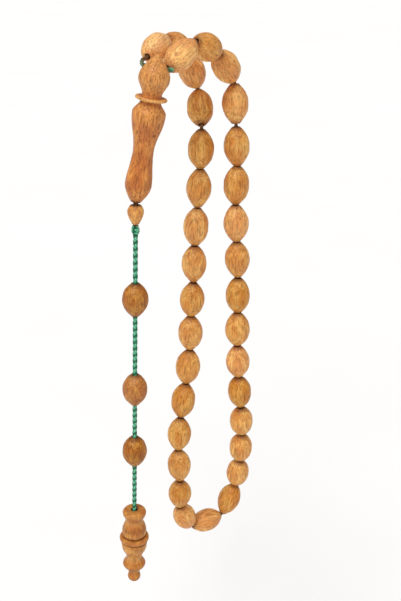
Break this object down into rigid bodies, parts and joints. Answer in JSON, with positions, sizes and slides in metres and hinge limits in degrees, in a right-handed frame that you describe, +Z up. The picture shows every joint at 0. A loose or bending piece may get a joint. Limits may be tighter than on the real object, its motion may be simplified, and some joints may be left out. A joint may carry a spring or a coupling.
{
  "type": "misbaha prayer beads",
  "caption": "String of turned wooden prayer beads with a long leader bead and a beaded cord tassel, shown hanging over a finger or round bar.",
  "frame": {"origin": "on the axis of the round bar or finger that the string hangs over, midway along the stretch that the string covers", "axes": "+X along the bar, from the leader bead towards the free end, +Y from the leader bead towards the hanging strands, +Z up"},
  "size_m": [0.0452, 0.0454, 0.1832],
  "materials": {
    "string_bead_wood": "satin oiled, fine grain along the cord hole",
    "leader_wood": "satin oiled, long grain",
    "drop_bead_wood": "satin oiled",
    "tassel_bead_wood": "satin oiled",
    "end_piece_wood": "satin oiled, turned rings",
    "string_cord_green": "twisted synthetic cord, slight sheen",
    "tassel_cord_green": "plaited two-tone synthetic cord, slight sheen"
  },
  "bodies": {
    "string_top": {"string_cord_top": "string_cord_green"},
    "string_upper": {"string_cord_upper": "string_cord_green"},
    "string_middle": {"string_cord_middle": "string_cord_green"},
    "string_lower": {"string_cord_lower": "string_cord_green"},
    "leader": {"leader_bead": "leader_wood", "leader_cord": "tassel_cord_green"},
    "drop_bead": {"drop_bead": "drop_bead_wood"},
    "tassel_knot": {"tassel_knot": "tassel_cord_green"},
    "tassel": {"tassel_cord": "tassel_cord_green", "end_knot": "tassel_cord_green"},
    "tassel_bead_1": {"tassel_bead_1": "tassel_bead_wood"},
    "tassel_bead_2": {"tassel_bead_2": "tassel_bead_wood"},
    "tassel_bead_3": {"tassel_bead_3": "tassel_bead_wood"},
    "end_piece": {"end_piece": "end_piece_wood"},
    "string_bead_01": {"string_bead_01": "string_bead_wood"},
    "string_bead_02": {"string_bead_02": "string_bead_wood"},
    "string_bead_03": {"string_bead_03": "string_bead_wood"},
    "string_bead_04": {"string_bead_04": "string_bead_wood"},
    "string_bead_05": {"string_bead_05": "string_bead_wood"},
    "string_bead_06": {"string_bead_06": "string_bead_wood"},
    "string_bead_07": {"string_bead_07": "string_bead_wood"},
    "string_bead_08": {"string_bead_08": "string_bead_wood"},
    "string_bead_09": {"string_bead_09": "string_bead_wood"},
    "string_bead_10": {"string_bead_10": "string_bead_wood"},
    "string_bead_11": {"string_bead_11": "string_bead_wood"},
    "string_bead_12": {"string_bead_12": "string_bead_wood"},
    "string_bead_13": {"string_bead_13": "string_bead_wood"},
    "string_bead_14": {"string_bead_14": "string_bead_wood"},
    "string_bead_15": {"string_bead_15": "string_bead_wood"},
    "string_bead_16": {"string_bead_16": "string_bead_wood"},
    "string_bead_17": {"string_bead_17": "string_bead_wood"},
    "string_bead_18": {"string_bead_18": "string_bead_wood"},
    "string_bead_19": {"string_bead_19": "string_bead_wood"},
    "string_bead_20": {"string_bead_20": "string_bead_wood"},
    "string_bead_21": {"string_bead_21": "string_bead_wood"},
    "string_bead_22": {"string_bead_22": "string_bead_wood"},
    "string_bead_23": {"string_bead_23": "string_bead_wood"},
    "string_bead_24": {"string_bead_24": "string_bead_wood"},
    "string_bead_25": {"string_bead_25": "string_bead_wood"},
    "string_bead_26": {"string_bead_26": "string_bead_wood"},
    "string_bead_27": {"string_bead_27": "string_bead_wood"},
    "string_bead_28": {"string_bead_28": "string_bead_wood"},
    "string_bead_29": {"string_bead_29": "string_bead_wood"},
    "string_bead_30": {"string_bead_30": "string_bead_wood"},
    "string_bead_31": {"string_bead_31": "string_bead_wood"},
    "string_bead_32": {"string_bead_32": "string_bead_wood"},
    "string_bead_33": {"string_bead_33": "string_bead_wood"}
  },
  "joints": [
    {"name": "string_swing", "type": "hinge", "parent": "string_top", "child": "string_upper", "pos_m": [0.00375, 0.01275, -0.01275], "axis": [0.9889, 0.1413, 0.0471], "range_deg": [-20, 20]},
    {"name": "string_bend_middle", "type": "hinge", "parent": "string_upper", "child": "string_middle", "pos_m": [0.00475, 0.0125, -0.063], "axis": [0.977, 0.2021, 0.0674], "range_deg": [-20, 20]},
    {"name": "string_bend_lower", "type": "hinge", "parent": "string_middle", "child": "string_lower", "pos_m": [0.005, 0.013, -0.113], "axis": [0.9477, 0.3159, 0.0451], "range_deg": [-20, 20]},
    {"name": "leader_swing", "type": "hinge", "parent": "string_top", "child": "leader", "pos_m": [-0.0142, -0.0135, 0.00823], "axis": [0.9903, 0, -0.1392], "range_deg": [-60, 8]},
    {"name": "tassel_swing", "type": "hinge", "parent": "leader", "child": "tassel_knot", "pos_m": [-0.01952, -0.0135, -0.0381], "axis": [1, 0, 0], "range_deg": [-45, 45]},
    {"name": "tassel_sway", "type": "hinge", "parent": "tassel_knot", "child": "tassel", "pos_m": [-0.01952, -0.0135, -0.0381], "axis": [0, 1, 0], "range_deg": [-45, 45]},
    {"name": "tassel_bead_1_slide", "type": "slide", "parent": "tassel", "child": "tassel_bead_1", "axis": [0, 0, 1], "range_m": [-0.0199, 0.015]},
    {"name": "tassel_bead_2_slide", "type": "slide", "parent": "tassel", "child": "tassel_bead_2", "axis": [0, 0, 1], "range_m": [-0.0119, 0.0199]},
    {"name": "tassel_bead_3_slide", "type": "slide", "parent": "tassel", "child": "tassel_bead_3", "axis": [0, 0, 1], "range_m": [-0.0172, 0.0119]},
    {"name": "end_piece_spin", "type": "hinge", "parent": "tassel", "child": "end_piece", "pos_m": [-0.01952, -0.0135, -0.1357], "axis": [0, 0, 1], "continuous": true},
    {"name": "drop_bead_spin", "type": "hinge", "parent": "leader", "child": "drop_bead", "pos_m": [-0.01952, -0.0135, -0.033], "axis": [0, 0, 1], "continuous": true},
    {"name": "string_bead_01_spin", "type": "hinge", "parent": "string_top", "child": "string_bead_01", "pos_m": [-0.01484, -0.00147, 0.01168], "axis": [0.3506, 0.896, 0.2727], "continuous": true},
    {"name": "string_bead_02_spin", "type": "hinge", "parent": "string_top", "child": "string_bead_02", "pos_m": [-0.00972, 0.00981, 0.01072], "axis": [0.4209, 0.8035, -0.4209], "continuous": true},
    {"name": "string_bead_03_spin", "type": "hinge", "parent": "string_top", "child": "string_bead_03", "pos_m": [-0.0051, 0.01832, 0.00278], "axis": [0.2933, 0.5133, -0.8066], "continuous": true},
    {"name": "string_bead_04_spin", "type": "hinge", "parent": "string_top", "child": "string_bead_04", "pos_m": [-0.00224, 0.01691, -0.00809], "axis": [0.1055, -0.7032, -0.7032], "continuous": true},
    {"name": "string_bead_05_spin", "type": "hinge", "parent": "string_upper", "child": "string_bead_05", "pos_m": [-0.0015, 0.01226, -0.01986], "axis": [0, 0.0384, -0.9993], "continuous": true},
    {"name": "string_bead_06_spin", "type": "hinge", "parent": "string_upper", "child": "string_bead_06", "pos_m": [-0.00175, 0.01225, -0.03227], "axis": [-0.0399, -0.0399, -0.9984], "continuous": true},
    {"name": "string_bead_07_spin", "type": "hinge", "parent": "string_upper", "child": "string_bead_07", "pos_m": [-0.00225, 0.0115, -0.04473], "axis": [-0.0398, -0.0797, -0.996], "continuous": true},
    {"name": "string_bead_08_spin", "type": "hinge", "parent": "string_upper", "child": "string_bead_08", "pos_m": [-0.0025, 0.011, -0.05715], "axis": [0, 0, -1], "continuous": true},
    {"name": "string_bead_09_spin", "type": "hinge", "parent": "string_middle", "child": "string_bead_09", "pos_m": [-0.00275, 0.01151, -0.06985], "axis": [-0.0398, 0.0797, -0.996], "continuous": true},
    {"name": "string_bead_10_spin", "type": "hinge", "parent": "string_middle", "child": "string_bead_10", "pos_m": [-0.003, 0.012, -0.08224], "axis": [0, 0, -1], "continuous": true},
    {"name": "string_bead_11_spin", "type": "hinge", "parent": "string_middle", "child": "string_bead_11", "pos_m": [-0.0035, 0.0115, -0.09477], "axis": [-0.0795, -0.0795, -0.9937], "continuous": true},
    {"name": "string_bead_12_spin", "type": "hinge", "parent": "string_middle", "child": "string_bead_12", "pos_m": [-0.00474, 0.01026, -0.10714], "axis": [-0.1183, -0.1183, -0.9859], "continuous": true},
    {"name": "string_bead_13_spin", "type": "hinge", "parent": "string_lower", "child": "string_bead_13", "pos_m": [-0.00575, 0.00899, -0.11984], "axis": [-0.0398, -0.0797, -0.996], "continuous": true},
    {"name": "string_bead_14_spin", "type": "hinge", "parent": "string_lower", "child": "string_bead_14", "pos_m": [-0.0055, 0.00825, -0.13222], "axis": [0.0797, -0.0398, -0.996], "continuous": true},
    {"name": "string_bead_15_spin", "type": "hinge", "parent": "string_lower", "child": "string_bead_15", "pos_m": [-0.005, 0.00899, -0.1447], "axis": [0, 0.158, -0.9874], "continuous": true},
    {"name": "string_bead_16_spin", "type": "hinge", "parent": "string_lower", "child": "string_bead_16", "pos_m": [-0.00309, 0.01215, -0.15673], "axis": [0.2979, 0.3352, -0.8938], "continuous": true},
    {"name": "string_bead_17_spin", "type": "hinge", "parent": "string_lower", "child": "string_bead_17", "pos_m": [0.00499, 0.01824, -0.16275], "axis": [0.8475, 0.5297, 0.0353], "continuous": true},
    {"name": "string_bead_18_spin", "type": "hinge", "parent": "string_lower", "child": "string_bead_18", "pos_m": [0.01335, 0.02278, -0.15597], "axis": [0.3366, 0.1122, 0.9349], "continuous": true},
    {"name": "string_bead_19_spin", "type": "hinge", "parent": "string_lower", "child": "string_bead_19", "pos_m": [0.01601, 0.02223, -0.14365], "axis": [0.0782, -0.1955, 0.9776], "continuous": true},
    {"name": "string_bead_20_spin", "type": "hinge", "parent": "string_lower", "child": "string_bead_20", "pos_m": [0.0165, 0.02, -0.13125], "axis": [0, -0.158, 0.9874], "continuous": true},
    {"name": "string_bead_21_spin", "type": "hinge", "parent": "string_lower", "child": "string_bead_21", "pos_m": [0.01601, 0.01777, -0.11886], "axis": [-0.0782, -0.1955, 0.9776], "continuous": true},
    {"name": "string_bead_22_spin", "type": "hinge", "parent": "string_middle", "child": "string_bead_22", "pos_m": [0.01473, 0.01599, -0.10612], "axis": [-0.1188, -0.0792, 0.9898], "continuous": true},
    {"name": "string_bead_23_spin", "type": "hinge", "parent": "string_middle", "child": "string_bead_23", "pos_m": [0.0135, 0.015, -0.09376], "axis": [-0.0795, -0.0795, 0.9937], "continuous": true},
    {"name": "string_bead_24_spin", "type": "hinge", "parent": "string_middle", "child": "string_bead_24", "pos_m": [0.01275, 0.01425, -0.08124], "axis": [-0.0399, -0.0399, 0.9984], "continuous": true},
    {"name": "string_bead_25_spin", "type": "hinge", "parent": "string_middle", "child": "string_bead_25", "pos_m": [0.01225, 0.014, -0.06885], "axis": [-0.04, 0, 0.9992], "continuous": true},
    {"name": "string_bead_26_spin", "type": "hinge", "parent": "string_upper", "child": "string_bead_26", "pos_m": [0.01149, 0.01375, -0.05615], "axis": [-0.0797, -0.0398, 0.996], "continuous": true},
    {"name": "string_bead_27_spin", "type": "hinge", "parent": "string_upper", "child": "string_bead_27", "pos_m": [0.0105, 0.0135, -0.04376], "axis": [-0.0797, 0, 0.9968], "continuous": true},
    {"name": "string_bead_28_spin", "type": "hinge", "parent": "string_upper", "child": "string_bead_28", "pos_m": [0.01, 0.0135, -0.03125], "axis": [0, 0, 1], "continuous": true},
    {"name": "string_bead_29_spin", "type": "hinge", "parent": "string_upper", "child": "string_bead_29", "pos_m": [0.00951, 0.0135, -0.01891], "axis": [-0.0797, 0, 0.9968], "continuous": true},
    {"name": "string_bead_30_spin", "type": "hinge", "parent": "string_top", "child": "string_bead_30", "pos_m": [0.00851, 0.0152, -0.00617], "axis": [-0.0741, 0.2593, 0.963], "continuous": true},
    {"name": "string_bead_31_spin", "type": "hinge", "parent": "string_top", "child": "string_bead_31", "pos_m": [0.00515, 0.01286, 0.00516], "axis": [-0.4155, -0.6043, 0.6799], "continuous": true},
    {"name": "string_bead_32_spin", "type": "hinge", "parent": "string_top", "child": "string_bead_32", "pos_m": [-0.00067, 0.00389, 0.01169], "axis": [-0.4945, -0.7989, 0.3424], "continuous": true},
    {"name": "string_bead_33_spin", "type": "hinge", "parent": "string_top", "child": "string_bead_33", "pos_m": [-0.00766, -0.00621, 0.0106], "axis": [-0.5334, -0.6857, -0.4953], "continuous": true}
  ]
}
